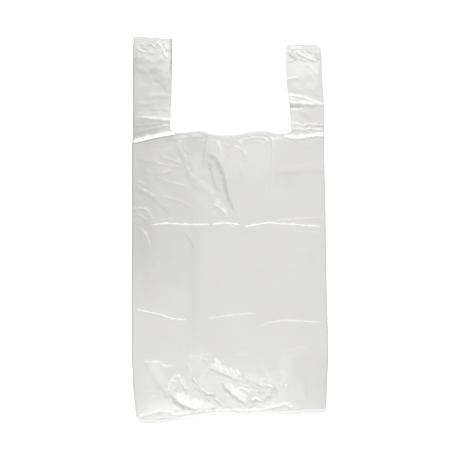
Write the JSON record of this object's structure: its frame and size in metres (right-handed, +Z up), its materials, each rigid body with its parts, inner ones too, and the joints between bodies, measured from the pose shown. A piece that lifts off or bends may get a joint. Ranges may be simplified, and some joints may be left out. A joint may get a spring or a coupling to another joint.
{
  "type": "plastic carrier bag",
  "caption": "White plastic vest carrier bag, empty and lying flat, with looped handles, folded side gussets and a welded bottom.",
  "frame": {"origin": "middle of the bag's outline, on the floor that it lies on", "axes": "+Y from the welded bottom towards the handles, +X to the right as the front panel is seen, +Z up out of the front panel"},
  "size_m": [0.3048, 0.6046, 0.0144],
  "materials": {
    "white_film": "white polythene film with a soft satin sheen, slightly see-through where it is one ply"
  },
  "bodies": {
    "root": {"carrier_bag": "white_film"}
  },
  "joints": []
}
